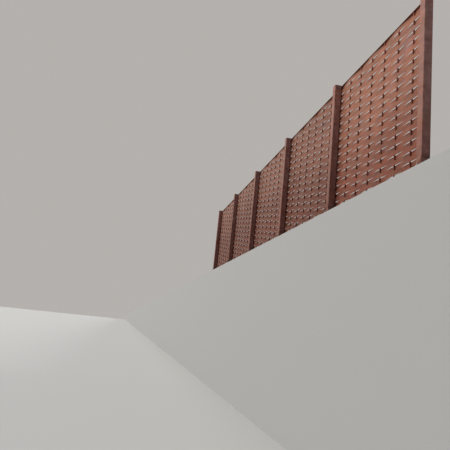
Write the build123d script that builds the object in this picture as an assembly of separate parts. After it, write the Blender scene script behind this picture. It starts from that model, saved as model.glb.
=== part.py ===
from build123d import *
import os

# Metal privacy screen. Posts stand in a row along X, and the front faces -Y. Each bay
# holds a framed panel of flat strips woven round upright bars, fixed to the rear faces of
# its two posts. Post 1 is the free end at +X. The origin is under post 1, at the middle of
# its base plate. Sizes are in millimetres.

# Row
bay_count = 5
bay_length = 2400.0

# Posts, square hollow section
post_size = 100.0
post_wall = 4.0
post_corner_radius = 8.0
post_above_panel = 10.0
post_cap_thickness = 4.0

# Base plates and their anchor holes, one in front of the post and one behind it
base_plate_width = 120.0
base_plate_depth = 180.0
base_plate_thickness = 10.0
anchor_spacing = 140.0
anchor_hole_diameter = 14.0

# Panel frame: angle rails at top and bottom, flat stiles at the ends
panel_ground_gap = 50.0
panel_height = 2000.0
panel_depth = 30.0
rail_thickness = 3.0
stile_thickness = 5.0
stile_from_post_centre = 17.0

# Upright bars that the strips pass round
bars_per_bay = 6
bar_size = 16.0

# Woven strips
strip_width = 60.0
strip_thickness = 1.5
strip_gap = 2.0
strip_seat_clearance = 0.3

# In most bays the top strip passes in front of the bar nearest +X. Here it passes behind.
bays_with_top_strip_behind = (1, 2, 3)

# Places that follow from the sizes above
panel_front = post_size / 2
weave_plane = panel_front + panel_depth / 2
panel_top = panel_ground_gap + panel_height
inner_height = panel_height - 2 * rail_thickness
stile_reach = bay_length / 2 - stile_from_post_centre
inner_length = 2 * stile_reach - stile_thickness
bar_spacing = 2 * stile_reach / (bars_per_bay + 1)
strip_pitch = strip_width + strip_gap
strip_count = int((inner_height + strip_gap) // strip_pitch)
strip_stack_height = strip_count * strip_pitch - strip_gap
post_top = panel_top + post_above_panel


def post_x(number):
    """Centre of a post; number 1 is the free end."""
    return -(number - 1) * bay_length


def bay_x(number):
    """Middle of a bay; bay 1 lies between posts 1 and 2."""
    return -(number - 0.5) * bay_length


def post():
    """One hollow post, from its base plate up to its cap."""
    outside = RectangleRounded(post_size, post_size, post_corner_radius)
    bore_size = post_size - 2 * post_wall
    bore = RectangleRounded(bore_size, bore_size, post_corner_radius - post_wall)
    tube_height = post_top - post_cap_thickness - base_plate_thickness
    return Pos(0, 0, base_plate_thickness) * extrude(outside - bore, tube_height)


def post_cap():
    """The square plate that closes a post, flush with its sides."""
    foot = Pos(0, 0, post_top - post_cap_thickness)
    return foot * extrude(Rectangle(post_size, post_size), post_cap_thickness)


def base_plate():
    """The foot under a post, with its two anchor holes."""
    outline = Rectangle(base_plate_width, base_plate_depth)
    for side in (1, -1):
        outline -= Pos(0, side * anchor_spacing / 2) * Circle(anchor_hole_diameter / 2)
    return extrude(outline, base_plate_thickness)


def rails():
    """The two angles of a panel: flat legs outermost, upright legs at the back."""
    outline = Polyline(
        (0, 0),
        (panel_depth, 0),
        (panel_depth, panel_depth),
        (panel_depth - rail_thickness, panel_depth),
        (panel_depth - rail_thickness, rail_thickness),
        (0, rail_thickness),
        close=True,
    )
    angle = extrude(Plane.YZ * make_face(outline), inner_length)
    lower = Pos(-inner_length / 2, panel_front, panel_ground_gap) * angle
    upper = mirror(lower, Plane.XY.offset((panel_ground_gap + panel_top) / 2))
    return [lower, upper]


def stiles():
    """The two flats that end a panel. Their front edges bear on the posts."""
    flat = Box(
        stile_thickness,
        panel_depth,
        panel_height,
        align=(Align.CENTER, Align.MIN, Align.MIN),
    )
    return [Pos(side * stile_reach, panel_front, panel_ground_gap) * flat for side in (1, -1)]


def bars():
    """The upright square bars of a panel, standing between its rails."""
    bar = Box(
        bar_size,
        bar_size,
        inner_height,
        align=(Align.CENTER, Align.CENTER, Align.MIN),
    )
    foot = panel_ground_gap + rail_thickness
    return [
        Pos(place * bar_spacing - stile_reach, weave_plane, foot) * bar
        for place in range(1, bars_per_bay + 1)
    ]


def strip(first_side):
    """One strip on the weave plane, folded to pass the bars on alternate sides.

    It ends against the stiles. first_side is -1 where its end at -X lies in front of the
    weave plane, and 1 where it lies behind. The folds stand off the bars far enough for
    the slopes beside them to clear the bars' corners.
    """
    seat = bar_size / 2 + strip_seat_clearance + strip_thickness / 2
    slope = 2 * seat / (bar_spacing - bar_size)
    fold = seat + slope * bar_size / 2
    bar_x = [place * bar_spacing - stile_reach for place in range(1, bars_per_bay + 1)]
    fold_x = [-inner_length / 2, *bar_x, inner_length / 2]
    middle = [(x, first_side * (-1) ** place * fold) for place, x in enumerate(fold_x)]
    front = [(x, y - strip_thickness / 2) for x, y in middle]
    back = [(x, y + strip_thickness / 2) for x, y in middle]
    outline = make_face(Polyline(*front, *reversed(back), close=True))
    return extrude(outline, strip_width)


def weave(bay):
    """The strips of a bay from the top down, each one opposite to the strip above."""
    near_side = 1 if bay in bays_with_top_strip_behind else -1
    top_side = near_side * (-1) ** bars_per_bay
    strip_by_side = {side: strip(side) for side in (-1, 1)}
    top_foot = panel_top - (panel_height - strip_stack_height) / 2 - strip_width
    strips = []
    for row in range(strip_count):
        place = Pos(0, weave_plane, top_foot - row * strip_pitch)
        strips.append(place * strip_by_side[top_side * (-1) ** row])
    return strips


def save(name, pieces):
    """Write one node. Its pieces are separate solids that lie where the row has them."""
    shape = pieces[0] if len(pieces) == 1 else Compound(children=pieces)
    export_step(shape, "parts/" + name + ".step")


os.makedirs("parts", exist_ok=True)
post_places = {number: Pos(post_x(number), 0, 0) for number in range(1, bay_count + 2)}

for number, place in post_places.items():
    save(f"post_{number}", [place * post()])
save("base_plates", [place * base_plate() for place in post_places.values()])
save("post_caps", [place * post_cap() for place in post_places.values()])

for bay in range(1, bay_count + 1):
    place = Pos(bay_x(bay), 0, 0)
    panel = {"rails": rails(), "stiles": stiles(), "bars": bars(), "weave": weave(bay)}
    for name, pieces in panel.items():
        save(f"panel_{bay}_{name}", [place * piece for piece in pieces])
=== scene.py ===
import math
import random

import bpy
from mathutils import Matrix, Vector


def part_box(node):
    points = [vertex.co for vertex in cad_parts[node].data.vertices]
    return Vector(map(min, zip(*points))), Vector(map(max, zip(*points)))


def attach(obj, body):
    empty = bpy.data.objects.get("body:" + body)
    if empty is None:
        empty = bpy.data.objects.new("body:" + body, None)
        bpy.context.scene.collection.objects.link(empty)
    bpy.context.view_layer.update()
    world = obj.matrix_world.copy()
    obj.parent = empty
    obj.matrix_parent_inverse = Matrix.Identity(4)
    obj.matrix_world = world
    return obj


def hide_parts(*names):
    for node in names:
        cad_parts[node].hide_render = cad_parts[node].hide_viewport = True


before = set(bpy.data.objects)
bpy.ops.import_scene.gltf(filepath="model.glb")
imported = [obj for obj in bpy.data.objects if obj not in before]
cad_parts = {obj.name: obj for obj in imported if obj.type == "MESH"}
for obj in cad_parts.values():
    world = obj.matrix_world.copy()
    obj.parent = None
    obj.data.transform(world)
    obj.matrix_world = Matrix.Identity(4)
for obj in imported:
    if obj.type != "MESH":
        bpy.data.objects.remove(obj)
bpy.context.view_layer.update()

# The visual model of a metal privacy screen on a stepped studio floor. The row runs along X
# with its free end at +X, and its front faces -Y. Lengths are in metres.

X = Vector((1, 0, 0))
Y = Vector((0, 1, 0))
Z = Vector((0, 0, 1))

# Row
BAYS = 5
POSTS = BAYS + 1
BAY_LENGTH = 2.4
BARS_PER_BAY = 6
BAYS_WITH_TOP_STRIP_BEHIND = (1, 2, 3)

# Posts and base plates
POST_HALF = 0.050
POST_CORNER_RADIUS = 0.008
POST_FLAT_HALF = POST_HALF - POST_CORNER_RADIUS
CAP_SEAM_Z = 2.056
PLATE_TOP_Z = 0.010

# Panel frames
STILE_REACH = 1.183
STILE_HALF_THICKNESS = 0.0025
STILE_INSIDE = STILE_REACH - STILE_HALF_THICKNESS
STILE_OUTSIDE = STILE_REACH + STILE_HALF_THICKNESS
RAIL_THICKNESS = 0.003
BAR_HALF = 0.008
BAR_SPACING = 2 * STILE_REACH / (BARS_PER_BAY + 1)
PANEL_FRONT_Y = 0.050
PANEL_BACK_Y = 0.080
WEAVE_Y = (PANEL_FRONT_Y + PANEL_BACK_Y) / 2
PANEL_LOW_Z = 0.050
PANEL_TOP_Z = 2.050
# The rails' inner faces, each with its direction into the frame
RAIL_FACES = ((PANEL_LOW_Z + RAIL_THICKNESS, Z), (PANEL_TOP_Z - RAIL_THICKNESS, -Z))

# Woven strips. Each varies a little, as strips threaded by hand do. Twists are in radians.
STRIP_WIDTH = 0.060
STRIP_THICKNESS = 0.0015
STRIP_PITCH = 0.062
STRIP_BEVEL = 0.0004
BAR_CLEARANCE = 0.00005
LEAST_FOLD = BAR_HALF + STRIP_THICKNESS / 2 + BAR_CLEARANCE
FOLD_SPREAD = 0.0005
HEIGHT_SPREAD = 0.0004
TWIST_SPREAD = 0.020
# The share of a span that bends at each bar, and the shares of it where a strip has a ring
BEND = 0.2
SPAN_STEPS = (0.0, 0.05, 0.1, 0.15, 0.2, 0.3, 0.4, 0.5, 0.6, 0.7, 0.8, 0.85, 0.9, 0.95)
# How pale the primer of each bay's strips is, in steps of COAT_STEP
COATS = (3.5, -2.2, -1.7, -2.4, -1.4)
COAT_STEP = 0.07

# Weld beads. Sections and ripples are in shares of a leg, and a ripple turns in radians.
BEAD_ROOT = -0.0004
BEAD_SECTION = (
    (BEAD_ROOT, BEAD_ROOT),
    (1.0, BEAD_ROOT),
    (0.86, 0.50),
    (0.50, 0.86),
    (BEAD_ROOT, 1.0),
)
BEAD_STEP = 0.0028
CAP_BEAD_STEP = 0.004
LEAST_BEAD_STEPS = 3
RIPPLE = 0.10
RIPPLE_TURN = 2.1
RIPPLE_SPREAD = 0.07
BEAD_END_SHARE = 0.45

# Stitches that hold the stiles to the posts
STITCHES = 7
FIRST_STITCH_Z = 0.12
STITCH_SPACING = 0.305
STITCH_PLACE_SPREAD = 0.012
STITCH_HALF_LENGTH = 0.020
STITCH_LENGTH_SPREAD = 0.003
STITCH_LEG = 0.0045

# Welds inside a panel's frame, and the tacks at the ends of its strips
CORNER_WELD_INSET = 0.002
CORNER_WELD_LENGTH = 0.0245
FRAME_WELD_LEG = 0.0035
TACK_HALF_LENGTH = 0.007
TACK_PLACE_SPREAD = 0.006
TACK_LEG = 0.003

# Welds round a post's foot and under its cap
FOOT_CORNER_STEPS = 6
FOOT_SIDE_STEPS = 28
FOOT_WELD_LEG = 0.0055
CAP_WELD_LEG = 0.0016

# Anchors: a threaded stud with a washer and a nut
ANCHOR_OFFSET_Y = 0.070
STUD_RADIUS = 0.006
STUD_TOP_Z = 0.042
STUD_END_TAPER = 0.0015
STUD_SIDES = 18
THREAD_PITCH = 0.00175
THREAD_DEPTH = 0.0007
THREAD_START = 0.001
WASHER_RADIUS = 0.012
WASHER_THICKNESS = 0.0025
WASHER_CLEARANCE = 0.0005
WASHER_BEVEL = 0.0003
WASHER_SIDES = 28
NUT_HALF_WIDTH = 0.009
NUT_HEIGHT = 0.0105
NUT_FACE_SHARE = 0.96
NUT_CORNER_SLOPE = 0.62
NUT_BORE_BEVEL = 0.0008
NUT_SIDES = 36

# Colours of the primer and of what lies on it
ORANGE_OXIDE = (0.335, 0.130, 0.079)
PINK_OXIDE = (0.318, 0.154, 0.142)
POST_OXIDE = (0.382, 0.182, 0.144)
FRAME_OXIDE = (0.340, 0.100, 0.052)
DEEP_OXIDE = (0.190, 0.055, 0.033)
PALE_DUST = (0.340, 0.225, 0.165)
# Dark rust, also the colour of the painted shade along the top rail
FRESH_RUST = (0.170, 0.058, 0.026)
DARK_RUST_AND_SHADE = (0.060, 0.026, 0.018)
BARE_ZINC = (0.42, 0.42, 0.41)
ZINC_BLOOM = (0.66, 0.65, 0.62)

# Camera, in the row's frame, matched to the photo
PHOTO_WIDTH_PX = 450
FOCAL_PX = 502.6
SENSOR_WIDTH_MM = 36.0
CAMERA_PLACE = Vector((4.4605, -2.8019, -1.7959))
CAMERA_FORWARD = Vector((-0.96418, 0.17567, 0.19872))
CAMERA_UP = Vector((0.17602, -0.13663, 0.97486))

# Stepped floor: the screen stands on its upper level, and the camera is over the lower one
STEP_EDGE_Y = -0.104
STEP_HEIGHT = 3.5
FLOOR_REACH = 400.0
FLOOR_ROUGHNESS = 0.9

# Colours of the floor and the backdrop as the camera sees them, and as they light the row
FLOOR_SEEN = (0.50, 0.485, 0.465, 1)
FLOOR_LIGHTING = (0.30, 0.29, 0.28, 1)
BACKDROP_SEEN = (0.46, 0.437, 0.418, 1)
BACKDROP_LIGHTING = (0.48, 0.69, 1.0, 1)
BACKDROP_STRENGTH = 0.31

# Lamps: the way the light goes, its strength, its colour and its spread in degrees
KEY_LAMP = ((0.9, 1.0, -1.4), 3.25, (1.0, 0.96, 0.88), 90)
FILL_LAMP = ((0.3, -1.0, -0.5), 1.3, (1.0, 0.98, 0.95), 30)

# Where the small differences between strips, beads and nuts are drawn from
draw = random.Random(20)


def camera():
    """The photo's view, with the same roll."""
    data = bpy.data.cameras.new("camera")
    data.sensor_width = SENSOR_WIDTH_MM
    data.lens = FOCAL_PX / PHOTO_WIDTH_PX * SENSOR_WIDTH_MM
    data.clip_end = 4 * FLOOR_REACH
    obj = bpy.data.objects.new("camera", data)
    bpy.context.scene.collection.objects.link(obj)
    back = -CAMERA_FORWARD.normalized()
    side = CAMERA_UP.cross(back).normalized()
    rotation = Matrix((side, back.cross(side), back)).transposed()
    obj.matrix_world = Matrix.Translation(CAMERA_PLACE) @ rotation.to_4x4()
    bpy.context.scene.camera = obj


class Paint:
    """A material and short ways to add nodes to it."""

    def __init__(self, name, metallic=0.0, specular=0.5):
        self.material = bpy.data.materials.new(name)
        self.material.use_nodes = True
        self.tree = self.material.node_tree
        self.shader = self.tree.nodes["Principled BSDF"]
        self.shader.inputs["Metallic"].default_value = metallic
        self.shader.inputs["Specular IOR Level"].default_value = specular
        self.place = self.add("ShaderNodeTexCoord").outputs["Object"]

    def add(self, kind, **settings):
        """Add a node with these settings."""
        node = self.tree.nodes.new(kind)
        for key, value in settings.items():
            setattr(node, key, value)
        return node

    def put(self, socket, value):
        """Link a socket to another, or set it to a number or colour."""
        if isinstance(value, bpy.types.NodeSocket):
            self.tree.links.new(value, socket)
        elif isinstance(value, tuple) and len(value) == 3 and socket.type == "RGBA":
            socket.default_value = (*value, 1)
        else:
            socket.default_value = value

    def noise(self, scale, detail=3.0, stretch=(1, 1, 1), roughness=0.55, shift=0.0):
        """Noise of about so many patches a metre, stretched along an axis below 1."""
        mapping = self.add("ShaderNodeMapping")
        self.put(mapping.inputs["Vector"], self.place)
        self.put(mapping.inputs["Scale"], stretch)
        self.put(mapping.inputs["Location"], (shift, shift, shift))
        node = self.add("ShaderNodeTexNoise")
        self.put(node.inputs["Vector"], mapping.outputs["Vector"])
        self.put(node.inputs["Scale"], scale)
        self.put(node.inputs["Detail"], detail)
        self.put(node.inputs["Roughness"], roughness)
        return node.outputs["Fac"]

    def ramp(self, value, low, high, to_low=0.0, to_high=1.0):
        """Take low..high smoothly to to_low..to_high."""
        node = self.add("ShaderNodeMapRange", interpolation_type="SMOOTHSTEP")
        self.put(node.inputs["Value"], value)
        self.put(node.inputs["From Min"], low)
        self.put(node.inputs["From Max"], high)
        self.put(node.inputs["To Min"], to_low)
        self.put(node.inputs["To Max"], to_high)
        return node.outputs["Result"]

    def math(self, operation, first, second=0.0, third=0.0):
        """The result of a math node's operation."""
        node = self.add("ShaderNodeMath", operation=operation)
        for socket, value in zip(node.inputs, (first, second, third)):
            self.put(socket, value)
        return node.outputs["Value"]

    def plus(self, first, second):
        """The sum of two numbers."""
        return self.math("ADD", first, second)

    def times(self, first, second):
        """The product of two numbers."""
        return self.math("MULTIPLY", first, second)

    def larger(self, first, second):
        """The larger of two numbers."""
        return self.math("MAXIMUM", first, second)

    def wrap(self, value, half):
        """A number brought to between -half and half in steps of twice that."""
        return self.math("WRAP", value, half, -half)

    def mix(self, share, first, second):
        """The first colour where share is 0, the second where it is 1."""
        node = self.add("ShaderNodeMix", data_type="RGBA")
        self.put(node.inputs["Factor"], share)
        self.put(node.inputs["A"], first)
        self.put(node.inputs["B"], second)
        return node.outputs["Result"]

    def attribute(self, name):
        """One of the numbers that a Solid stores at its vertices."""
        return self.add("ShaderNodeAttribute", attribute_name=name).outputs["Fac"]

    def axes(self, source):
        """The three parts of a vector."""
        node = self.add("ShaderNodeSeparateXYZ")
        self.put(node.inputs["Vector"], source)
        return node.outputs["X"], node.outputs["Y"], node.outputs["Z"]

    def brighten(self, colour, factor):
        """Multiply a colour by a number."""
        node = self.add("ShaderNodeVectorMath", operation="SCALE")
        self.put(node.inputs["Vector"], colour)
        self.put(node.inputs["Scale"], factor)
        return node.outputs["Vector"]

    def finish(self, colour, roughness, fine, broad, fine_depth, broad_depth):
        """Connect colour, roughness and two heights of bump."""
        self.put(self.shader.inputs["Base Color"], colour)
        self.put(self.shader.inputs["Roughness"], roughness)
        first = self.add("ShaderNodeBump")
        self.put(first.inputs["Height"], broad)
        self.put(first.inputs["Distance"], broad_depth)
        second = self.add("ShaderNodeBump")
        self.put(second.inputs["Height"], fine)
        self.put(second.inputs["Distance"], fine_depth)
        self.put(second.inputs["Normal"], first.outputs["Normal"])
        self.put(self.shader.inputs["Normal"], second.outputs["Normal"])
        return self.material


def coats(paint, x, z, tints, pinkness, deepening):
    """Coats of two tints, in broad patches and in ones the size of a hand."""
    broad = paint.noise(2.1, 3, (1, 1, 1.3))
    small = paint.noise(9, 3, (0.6, 1, 1), shift=13)
    patches = paint.times(paint.plus(broad, small), 0.5)
    share = paint.ramp(patches, 0.62 - 0.3 * pinkness, 0.82 - 0.3 * pinkness)
    # Redder and deeper low down and along the row, where it is less faded, with a ragged limit
    limit = paint.math("MULTIPLY_ADD", paint.noise(1.7, 4, (1, 1, 0.7), shift=3), 1.6, z)
    along = paint.ramp(x, -3.5 * BAY_LENGTH, -0.5 * BAY_LENGTH, -0.5, 0.0)
    depth = paint.ramp(paint.plus(limit, along), 1.1, 2.3, deepening, 0.0)
    return paint.mix(depth, paint.mix(share, *tints), DEEP_OXIDE)


def dark_rail_and_shade(paint, z):
    """Where it is painted dark: the top rail's edge, and painted shade on the strip below it, with
    an uneven limit.
    """
    limit = paint.math("MULTIPLY_ADD", paint.noise(30, 4, (0.3, 1, 1), shift=12), 0.016, z)
    return paint.ramp(limit, PANEL_TOP_Z - 0.036, PANEL_TOP_Z - 0.010, 0.0, 0.4)


def dust_cover(paint, normal_z, dustiness):
    """Where dust lies: in faint clouds, and thick on what faces up."""
    clouds = paint.ramp(paint.noise(5.5, 5, (1, 1, 0.8), shift=11), 0.45, 0.75)
    upward = paint.ramp(normal_z, 0.25, 0.9)
    return paint.larger(paint.times(clouds, dustiness), paint.times(upward, 0.75))


def rust_cover(paint, z, rustiness):
    """Where it has rusted: in specks anywhere, and in blots low down."""
    specks = paint.ramp(paint.noise(42, 5, shift=5), 0.66, 0.72)
    low_down = paint.ramp(z, 0.02, 0.28, 1.0, 0.0)
    blots = paint.times(paint.ramp(paint.noise(14, 6, shift=9), 0.42, 0.6), low_down)
    return paint.larger(paint.times(specks, rustiness), paint.times(blots, 0.8))


def sheared_edges(paint):
    """Rust on the strips' edges."""
    unevenness = paint.noise(30, 4, (0.4, 1, 1), shift=4)
    return paint.times(paint.ramp(unevenness, 0.4, 0.6, 0.25, 0.85), paint.attribute("edge"))


def scratches(paint, x):
    """Scratches along the strips from when they were threaded in, most of them by the bars."""
    bar_x = -(BAY_LENGTH - BAR_SPACING) / 2
    in_bay = paint.math("WRAP", x, 0.0, -BAY_LENGTH)
    from_bar = paint.wrap(paint.plus(in_bay, -bar_x), BAR_SPACING / 2)
    by_bar = paint.ramp(paint.math("ABSOLUTE", from_bar), 0.01, 0.06, 0.07, 0.0)
    lines = paint.plus(paint.noise(700, 2, (0.012, 0.05, 1)), by_bar)
    return paint.ramp(lines, 0.64, 0.70, 0.0, 0.5)


def rubbed_corners(paint, x, y):
    """Wear on the posts' corners, which lie far from the post's middle both in x and in y."""
    from_middle = paint.math("ABSOLUTE", paint.wrap(x, BAY_LENGTH / 2))
    corner = paint.math("MINIMUM", from_middle, paint.math("ABSOLUTE", y))
    rubbed = paint.ramp(corner, POST_HALF - 0.0065, POST_HALF - 0.0035)
    worn = paint.ramp(paint.noise(17, 5, (1, 1, 0.5), shift=6), 0.5, 0.62)
    return paint.times(paint.times(rubbed, worn), 0.6)


def oxide_paint(name, tints, pinkness, deepening, dustiness, rustiness, strips=False, posts=False):
    """Matt red-oxide primer: uneven coats, dirt, dust, light rust and worn edges, with painted
    shade along the top rail and painted light on the posts' street side.

    strips and posts say which pieces it is for, because each kind wears in its own way.
    """
    paint = Paint(name, specular=0.1)
    x, y, z = paint.axes(paint.place)
    normal = paint.axes(paint.add("ShaderNodeNewGeometry").outputs["Normal"])
    colour = coats(paint, x, z, tints, pinkness, deepening)

    # Uneven spray at the width of a hand and of a finger
    hand = paint.noise(11, 4, (0.55, 1, 1.2), shift=7)
    colour = paint.brighten(colour, paint.ramp(hand, 0.28, 0.72, 0.78, 1.20))
    speckle = paint.noise(95, 6, shift=1)
    colour = paint.brighten(colour, paint.ramp(speckle, 0.3, 0.7, 0.90, 1.10))
    if strips:
        # Each strip was primed by itself before it was threaded in
        tone = paint.math("MULTIPLY_ADD", paint.attribute("tone"), COAT_STEP, 1.0)
        colour = paint.brighten(colour, tone)
    if posts:
        # More faded towards the free end and the top, and lighter on the street-facing side by
        # painted light
        faded_and_lit = paint.math("MULTIPLY_ADD", normal[1], -0.5, paint.plus(x, z))
        colour = paint.brighten(colour, paint.ramp(faded_and_lit, -1.3, -0.1, 0.90, 1.10))
    else:
        # Painted shade in a dark rust colour along the top rail and on the top strip under it
        colour = paint.mix(dark_rail_and_shade(paint, z), colour, DARK_RUST_AND_SHADE)

    # Dirty runs
    runs = paint.noise(26, 3, (1, 1, 0.045), roughness=0.6, shift=2)
    colour = paint.mix(paint.times(paint.ramp(runs, 0.56, 0.72), 0.22), colour, DEEP_OXIDE)
    dust = dust_cover(paint, normal[2], dustiness)
    colour = paint.mix(dust, colour, PALE_DUST)
    rust = rust_cover(paint, z, rustiness)
    if strips:
        rust = paint.larger(rust, sheared_edges(paint))
        rust = paint.larger(rust, scratches(paint, x))
    if posts:
        rust = paint.larger(rust, rubbed_corners(paint, x, y))
    tint = paint.mix(paint.ramp(speckle, 0.4, 0.6), DARK_RUST_AND_SHADE, FRESH_RUST)
    colour = paint.mix(rust, colour, tint)

    # Dust and rust are rougher than paint, and rust stands up from it
    roughness = paint.math("MULTIPLY_ADD", dust, 0.2, paint.ramp(hand, 0.3, 0.7, 0.58, 0.74))
    roughness = paint.math("MULTIPLY_ADD", rust, 0.15, roughness)
    height = paint.math("MULTIPLY_ADD", rust, 0.6, paint.noise(900, 3))
    waves = paint.noise(19, 2, (0.6, 1, 1), shift=8)
    return paint.finish(colour, roughness, height, waves, fine_depth=0.00012, broad_depth=0.0008)


def weld_metal():
    """Weld beads under a thin coat, rusty where it missed."""
    paint = Paint("weld_metal", specular=0.3)
    missed = paint.ramp(paint.noise(70, 5), 0.42, 0.6)
    colour = paint.mix(missed, DEEP_OXIDE, FRESH_RUST)
    dark = paint.ramp(paint.noise(160, 3, shift=2), 0.5, 0.7, 0.0, 0.6)
    colour = paint.mix(dark, colour, DARK_RUST_AND_SHADE)
    roughness = paint.ramp(missed, 0, 1, 0.6, 0.85)
    fine = paint.noise(1400, 3)
    broad = paint.noise(300, 2)
    return paint.finish(colour, roughness, fine, broad, fine_depth=0.0001, broad_depth=0.0004)


def zinc():
    """Dull zinc plating with white bloom and the first rust."""
    paint = Paint("zinc_plating", metallic=0.85)
    bloom = paint.ramp(paint.noise(120, 5), 0.42, 0.68)
    rust = paint.ramp(paint.noise(60, 6, shift=3), 0.54, 0.64)
    colour = paint.mix(rust, paint.mix(bloom, BARE_ZINC, ZINC_BLOOM), FRESH_RUST)
    roughness = paint.math("MULTIPLY_ADD", rust, 0.35, paint.ramp(bloom, 0, 1, 0.34, 0.56))
    fine = paint.noise(2200, 2)
    broad = paint.noise(400, 2)
    return paint.finish(colour, roughness, fine, broad, fine_depth=0.00005, broad_depth=0.0001)


class Solid:
    """Vertices and faces of one piece, with two numbers a vertex that the paint reads."""

    def __init__(self):
        self.vertices = []
        self.faces = []
        self.tone = []
        self.edge = []

    def ring(self, points, tone=0.0, edge=None):
        """Add a closed ring of points. Returns their indices."""
        start = len(self.vertices)
        self.vertices.extend(points)
        self.tone.extend([tone] * len(points))
        self.edge.extend(edge or [0.0] * len(points))
        return list(range(start, start + len(points)))

    def join(self, near, far):
        """Add the faces between two rings of equal length."""
        for i in range(len(near)):
            j = (i + 1) % len(near)
            self.faces.append((near[i], near[j], far[j], far[i]))

    def tube(self, rings):
        """Join each ring to the next one and close both ends."""
        for near, far in zip(rings, rings[1:]):
            self.join(near, far)
        self.faces.append(tuple(reversed(rings[0])))
        self.faces.append(tuple(rings[-1]))

    def loop(self, rings):
        """Join each ring to the next one, and the last to the first."""
        for near, far in zip(rings, rings[1:] + rings[:1]):
            self.join(near, far)

    def make(self, name, material, smooth_angle):
        """Turn it into a piece that rides on the row's one body."""
        mesh = bpy.data.meshes.new(name)
        mesh.from_pydata(self.vertices, [], self.faces)
        for title, values in (("tone", self.tone), ("edge", self.edge)):
            mesh.attributes.new(title, "FLOAT", "POINT").data.foreach_set("value", values)
        mesh.shade_smooth()
        mesh.set_sharp_from_angle(angle=math.radians(smooth_angle))
        mesh.materials.append(material)
        obj = bpy.data.objects.new(name, mesh)
        bpy.context.scene.collection.objects.link(obj)
        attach(obj, "root")
        return obj


def eased(share):
    """A half cosine from 0 to 1."""
    return (1 - math.cos(math.pi * share)) / 2


def crossing(share):
    """How far a strip has crossed to the other side: bent at the bars, straight between."""
    if share > 0.5:
        return 1 - crossing(1 - share)
    path = share * share / (2 * BEND) if share < BEND else share - BEND / 2
    return path / (1 - BEND)


def crossing_rate(share):
    """The slope of crossing."""
    return min(share, 1 - share, BEND) / (BEND * (1 - BEND))


def strip_section():
    """A strip's bevelled outline, as thickness and width, and which points are on an edge."""
    half = STRIP_THICKNESS / 2
    flat = half - STRIP_BEVEL
    reach = STRIP_WIDTH / 2
    shoulder = reach - STRIP_BEVEL
    outline = [
        (-half, -shoulder), (-flat, -reach), (flat, -reach), (half, -shoulder),
        (half, shoulder), (flat, reach), (-flat, reach), (-half, shoulder),
    ]
    return outline, [0.0, 1.0, 1.0, 0.0, 0.0, 1.0, 1.0, 0.0]


def strip(solid, middle, first_side, coat):
    """One strip about its middle, bent to pass the bars on alternate sides.

    first_side is -1 where its end at -X lies in front of the weave plane, and 1 where it
    lies behind. coat is how pale its bay's paint is.
    """
    tone = coat + draw.uniform(-1, 1)
    lift = draw.uniform(-HEIGHT_SPREAD, HEIGHT_SPREAD)
    spans = BARS_PER_BAY + 1
    folds = [LEAST_FOLD + draw.uniform(0, FOLD_SPREAD) for _ in range(spans + 1)]
    lifts = [lift + draw.uniform(-HEIGHT_SPREAD, HEIGHT_SPREAD) / 2 for _ in range(spans + 1)]
    twists = [draw.uniform(-TWIST_SPREAD, TWIST_SPREAD) for _ in range(spans)]
    # It starts and ends at the stiles' inner faces
    steps = [span + share for span in range(spans) for share in SPAN_STEPS] + [spans]
    steps[0] = STILE_HALF_THICKNESS / BAR_SPACING
    steps[-1] = spans - steps[0]
    outline, edge = strip_section()
    rings = []
    for step in steps:
        span = min(int(step), spans - 1)
        share = step - span
        side = first_side * (-1) ** span
        near = folds[span]
        far = folds[span + 1]
        bend = side * (near - (near + far) * crossing(share))
        slope = -side * (near + far) * crossing_rate(share) / BAR_SPACING
        height = lifts[span] + (lifts[span + 1] - lifts[span]) * eased(share)
        twist = twists[span] * math.sin(math.pi * share)
        points = []
        for out, up in outline:
            y = out * math.cos(twist) - up * math.sin(twist)
            z = up * math.cos(twist) + out * math.sin(twist)
            x = step * BAR_SPACING - STILE_REACH - y * slope
            points.append((middle[0] + x, middle[1] + bend + y, middle[2] + height + z))
        rings.append(solid.ring(points, tone, edge))
    solid.tube(rings)


def strip_rows(bay):
    """The middle height and first side of each strip of a bay, from the top down."""
    low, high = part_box(f"panel_{bay}_weave")
    top_side = 1 if bay in BAYS_WITH_TOP_STRIP_BEHIND else -1
    count = round((high[2] - low[2]) / STRIP_PITCH)
    top_z = high[2] - STRIP_WIDTH / 2
    return [(top_z - row * STRIP_PITCH, top_side * (-1) ** row) for row in range(count)]


def weave(bay, material):
    """The strips of a bay."""
    node = f"panel_{bay}_weave"
    low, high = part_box(node)
    solid = Solid()
    for z, first_side in strip_rows(bay):
        middle = ((low[0] + high[0]) / 2, (low[1] + high[1]) / 2, z)
        strip(solid, middle, first_side, COATS[bay - 1])
    piece = solid.make(f"weave_{bay}", material, smooth_angle=35)
    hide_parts(node)


def bead(solid, points, across, up, leg, closed=False):
    """A rippled weld bead in a corner along points, with its legs along across and up.

    across is one unit vector, or a list of one for each point.
    """
    rings = []
    for index, point in enumerate(points):
        uneven = draw.uniform(-RIPPLE_SPREAD, RIPPLE_SPREAD)
        size = leg * (1 + RIPPLE * math.sin(index * RIPPLE_TURN) + uneven)
        if not closed and index in (0, len(points) - 1):
            size *= BEAD_END_SHARE
        first = across[index] if isinstance(across, list) else across
        section = [tuple(point + first * (a * size) + up * (b * size)) for a, b in BEAD_SECTION]
        rings.append(solid.ring(section))
    if closed:
        solid.loop(rings)
    else:
        solid.tube(rings)


def run(start, end, step=BEAD_STEP):
    """Points in a straight line."""
    count = max(LEAST_BEAD_STEPS, round((end - start).length / step))
    return [start.lerp(end, i / count) for i in range(count + 1)]


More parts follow.
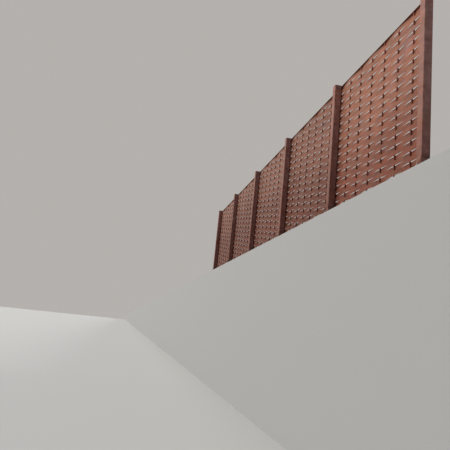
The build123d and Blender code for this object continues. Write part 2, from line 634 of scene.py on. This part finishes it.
def stitch_stile(solid, x, end):
    """Stitches that hold the outside of a stile to its post. end is 1 at +X and -1 at -X."""
    for stitch in range(STITCHES):
        spread = draw.uniform(-STITCH_PLACE_SPREAD, STITCH_PLACE_SPREAD)
        middle = Vector((x, PANEL_FRONT_Y, FIRST_STITCH_Z + stitch * STITCH_SPACING + spread))
        spread = draw.uniform(-STITCH_LENGTH_SPREAD, STITCH_LENGTH_SPREAD)
        half = Z * (STITCH_HALF_LENGTH + spread)
        bead(solid, run(middle - half, middle + half), X * end, Y, STITCH_LEG)


def weld_frame_corners(solid, x, end):
    """Beads between the inside of a stile and both rails."""
    for z, into in RAIL_FACES:
        start = Vector((x, PANEL_FRONT_Y + CORNER_WELD_INSET, z))
        bead(solid, run(start, start + Y * CORNER_WELD_LENGTH), -X * end, into, FRAME_WELD_LEG)


def weld_bar(solid, x):
    """Beads on both sides of a bar at each of its ends."""
    for end in (-1, 1):
        for z, into in RAIL_FACES:
            start = Vector((x + end * BAR_HALF, WEAVE_Y - BAR_HALF, z))
            bead(solid, run(start, start + Y * 2 * BAR_HALF), X * end, into, FRAME_WELD_LEG)


def tack_strip(solid, bay_x, z, first_side):
    """A tack on the front of a strip at each end, where it meets its stile."""
    for end in (-1, 1):
        side = first_side if end < 0 else first_side * (-1) ** (BARS_PER_BAY + 1)
        y = WEAVE_Y + side * LEAST_FOLD - STRIP_THICKNESS / 2
        spread = draw.uniform(-TACK_PLACE_SPREAD, TACK_PLACE_SPREAD)
        middle = Vector((bay_x + end * STILE_INSIDE, y, z + spread))
        half = Z * TACK_HALF_LENGTH
        bead(solid, run(middle - half, middle + half), -X * end, -Y, TACK_LEG)


def panel_welds(bay, material):
    """All weld beads of a panel."""
    solid = Solid()
    bay_x = -(bay - 0.5) * BAY_LENGTH
    for end in (-1, 1):
        stitch_stile(solid, bay_x + end * STILE_OUTSIDE, end)
        weld_frame_corners(solid, bay_x + end * STILE_INSIDE, end)
    for bar in range(1, BARS_PER_BAY + 1):
        weld_bar(solid, bay_x - STILE_REACH + bar * BAR_SPACING)
    for z, first_side in strip_rows(bay):
        tack_strip(solid, bay_x, z, first_side)
    solid.make(f"panel_{bay}_welds", material, smooth_angle=60)


def post_outline():
    """Points round a post at the origin, each with its direction out."""
    outline = []
    corners = [(1, 1), (-1, 1), (-1, -1), (1, -1)]
    centres = [Vector((x * POST_FLAT_HALF, y * POST_FLAT_HALF, 0)) for x, y in corners]
    for index, centre in enumerate(centres):
        for step in range(FOOT_CORNER_STEPS + 1):
            angle = (index + step / FOOT_CORNER_STEPS) * math.pi / 2
            out = Vector((math.cos(angle), math.sin(angle), 0))
            outline.append((centre + out * POST_CORNER_RADIUS, out))
        # The flat side from this corner to the next one
        start = centre + out * POST_CORNER_RADIUS
        end = centres[(index + 1) % 4] + out * POST_CORNER_RADIUS
        for step in range(1, FOOT_SIDE_STEPS):
            outline.append((start.lerp(end, step / FOOT_SIDE_STEPS), out))
    return outline


def post_welds(material):
    """The bead round the foot of each post, and the seam under its cap."""
    solid = Solid()
    outline = post_outline()
    directions = [out for _, out in outline]
    for post in range(POSTS):
        foot = Vector((-post * BAY_LENGTH, 0, PLATE_TOP_Z))
        bead(solid, [foot + p for p, _ in outline], directions, Z, FOOT_WELD_LEG, closed=True)
        # The cap's plate overhangs the round corners, so its seam is a bead on each flat side
        for out, along in ((X, Y), (-X, Y), (Y, X), (-Y, X)):
            middle = Vector((-post * BAY_LENGTH, 0, CAP_SEAM_Z)) + out * POST_HALF
            half = along * POST_FLAT_HALF
            points = run(middle - half, middle + half, CAP_BEAD_STEP)
            bead(solid, points, out, -Z, CAP_WELD_LEG)
    solid.make("post_welds", material, smooth_angle=60)


def circle(x, y, z, radius, sides, turned=0.0):
    """Points on a level circle."""
    angles = [i * 2 * math.pi / sides + turned for i in range(sides)]
    return [(x + radius * math.cos(angle), y + radius * math.sin(angle), z) for angle in angles]


def stud(solid, x, y, nut_top):
    """A stud, plain up to the top of its nut and threaded above it."""
    root = STUD_RADIUS - THREAD_DEPTH
    profile = [(0.0, root), (nut_top - THREAD_START, root)]
    for thread in range(int((STUD_TOP_Z - nut_top) / THREAD_PITCH)):
        z = nut_top + thread * THREAD_PITCH
        profile.append((z + 0.25 * THREAD_PITCH, root))
        profile.append((z + 0.75 * THREAD_PITCH, STUD_RADIUS))
    profile.append((STUD_TOP_Z, STUD_RADIUS - STUD_END_TAPER))
    solid.tube([solid.ring(circle(x, y, z, radius, STUD_SIDES)) for z, radius in profile])


def washer(solid, x, y, top):
    """A washer with a bevelled rim, on its base plate."""
    hole = STUD_RADIUS + WASHER_CLEARANCE
    face = WASHER_RADIUS - WASHER_BEVEL
    profile = [
        (PLATE_TOP_Z, hole),
        (PLATE_TOP_Z, face),
        (PLATE_TOP_Z + WASHER_BEVEL, WASHER_RADIUS),
        (top - WASHER_BEVEL, WASHER_RADIUS),
        (top, face),
        (top, hole),
    ]
    solid.loop([solid.ring(circle(x, y, z, radius, WASHER_SIDES)) for z, radius in profile])


def nut_side(x, y, turned, edge_z, slope):
    """A nut's outline: at edge_z amid each flat, and rising by slope towards the corners."""
    points = []
    sixth = math.pi / 3
    for i in range(NUT_SIDES):
        angle = i * 2 * math.pi / NUT_SIDES
        radius = NUT_HALF_WIDTH / math.cos((angle + sixth / 2) % sixth - sixth / 2)
        z = edge_z + (radius - NUT_HALF_WIDTH) * slope
        px = x + radius * math.cos(angle + turned)
        py = y + radius * math.sin(angle + turned)
        points.append((px, py, z))
    return points


def nut(solid, x, y, foot, top):
    """A hexagon nut, turned at random, with its corners turned down at both ends."""
    turned = draw.uniform(0, math.pi / 3)
    bore = STUD_RADIUS - THREAD_DEPTH / 2
    face = NUT_HALF_WIDTH * NUT_FACE_SHARE
    rings = [
        circle(x, y, foot, bore, NUT_SIDES, turned),
        circle(x, y, foot, face, NUT_SIDES, turned),
        nut_side(x, y, turned, foot, NUT_CORNER_SLOPE),
        nut_side(x, y, turned, top, -NUT_CORNER_SLOPE),
        circle(x, y, top, face, NUT_SIDES, turned),
        circle(x, y, top, bore + NUT_BORE_BEVEL, NUT_SIDES, turned),
        circle(x, y, top - NUT_BORE_BEVEL, bore, NUT_SIDES, turned),
    ]
    solid.loop([solid.ring(points) for points in rings])


def anchors(material):
    """A stud with its washer and nut in each anchor hole."""
    solid = Solid()
    washer_top = PLATE_TOP_Z + WASHER_THICKNESS
    nut_top = washer_top + NUT_HEIGHT
    for post in range(POSTS):
        x = -post * BAY_LENGTH
        for y in (-ANCHOR_OFFSET_Y, ANCHOR_OFFSET_Y):
            stud(solid, x, y, nut_top)
            washer(solid, x, y, washer_top)
            nut(solid, x, y, washer_top, nut_top)
    solid.make("anchors", material, smooth_angle=25)


def seen_directly(tree):
    """1 on rays that show the floor or the backdrop: straight, reflected or through glass."""
    ray = tree.nodes.new("ShaderNodeLightPath")
    share = ray.outputs["Is Camera Ray"]
    for kind in ("Is Glossy Ray", "Is Transmission Ray"):
        either = tree.nodes.new("ShaderNodeMath")
        either.operation = "MAXIMUM"
        tree.links.new(share, either.inputs[0])
        tree.links.new(ray.outputs[kind], either.inputs[1])
        share = either.outputs["Value"]
    return share


def floor_material():
    """Pale to the eye, while it throws little light back up."""
    material = bpy.data.materials.new("floor")
    material.use_nodes = True
    tree = material.node_tree
    pick = tree.nodes.new("ShaderNodeMix")
    pick.data_type = "RGBA"
    tree.links.new(seen_directly(tree), pick.inputs["Factor"])
    pick.inputs["A"].default_value = FLOOR_LIGHTING
    pick.inputs["B"].default_value = FLOOR_SEEN
    shader = tree.nodes["Principled BSDF"]
    tree.links.new(pick.outputs["Result"], shader.inputs["Base Color"])
    shader.inputs["Roughness"].default_value = FLOOR_ROUGHNESS
    return material


def stage():
    """The stepped floor."""
    far = FLOOR_REACH
    low = -STEP_HEIGHT
    vertices = [
        (-far, far, 0), (far, far, 0),
        (-far, STEP_EDGE_Y, 0), (far, STEP_EDGE_Y, 0),
        (-far, STEP_EDGE_Y, low), (far, STEP_EDGE_Y, low),
        (-far, -far, low), (far, -far, low),
    ]
    faces = [(0, 2, 3, 1), (2, 4, 5, 3), (4, 6, 7, 5)]
    mesh = bpy.data.meshes.new("floor")
    mesh.from_pydata(vertices, [], faces)
    mesh.materials.append(floor_material())
    floor = bpy.data.objects.new("floor", mesh)
    bpy.context.scene.collection.objects.link(floor)


def sun(name, towards, energy, colour, spread):
    """A lamp whose light goes one way, softened by its spread in degrees."""
    data = bpy.data.lights.new(name, "SUN")
    data.energy = energy
    data.angle = math.radians(spread)
    data.color = colour
    obj = bpy.data.objects.new(name, data)
    bpy.context.scene.collection.objects.link(obj)
    obj.matrix_world = Vector(towards).to_track_quat("-Z", "Y").to_matrix().to_4x4()


def backdrop():
    """Even light from all round, with a pale colour in its place where it is seen."""
    world = bpy.data.worlds.new("studio")
    bpy.context.scene.world = world
    world.use_nodes = True
    nodes = world.node_tree.nodes
    links = world.node_tree.links
    nodes.clear()
    output = nodes.new("ShaderNodeOutputWorld")
    mix = nodes.new("ShaderNodeMixShader")
    seen = nodes.new("ShaderNodeBackground")
    lighting = nodes.new("ShaderNodeBackground")
    seen.inputs["Color"].default_value = BACKDROP_SEEN
    lighting.inputs["Color"].default_value = BACKDROP_LIGHTING
    lighting.inputs["Strength"].default_value = BACKDROP_STRENGTH
    links.new(seen_directly(world.node_tree), mix.inputs["Fac"])
    links.new(lighting.outputs["Background"], mix.inputs[1])
    links.new(seen.outputs["Background"], mix.inputs[2])
    links.new(mix.outputs["Shader"], output.inputs["Surface"])


camera()
bpy.context.scene.view_settings.view_transform = "Standard"
stage()
# A broad soft key from the front and a weaker fill from behind
sun("key", *KEY_LAMP)
sun("fill", *FILL_LAMP)
backdrop()

strip_paint = oxide_paint(
    "strip_paint",
    tints=(ORANGE_OXIDE, PINK_OXIDE),
    pinkness=0.35,
    deepening=0.85,
    dustiness=0.30,
    rustiness=0.5,
    strips=True,
)
frame_paint = oxide_paint(
    "frame_paint",
    tints=(FRAME_OXIDE, ORANGE_OXIDE),
    pinkness=0.45,
    deepening=0.85,
    dustiness=0.12,
    rustiness=0.5,
)
post_paint = oxide_paint(
    "post_paint",
    tints=(ORANGE_OXIDE, POST_OXIDE),
    pinkness=0.95,
    deepening=0.40,
    dustiness=0.30,
    rustiness=0.35,
    posts=True,
)
weld_paint = weld_metal()
plating = zinc()

for name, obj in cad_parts.items():
    obj.data.materials.clear()
    obj.data.materials.append(frame_paint if name.startswith("panel_") else post_paint)

for bay in range(1, BAYS + 1):
    weave(bay, strip_paint)
    panel_welds(bay, weld_paint)
post_welds(weld_paint)
anchors(plating)
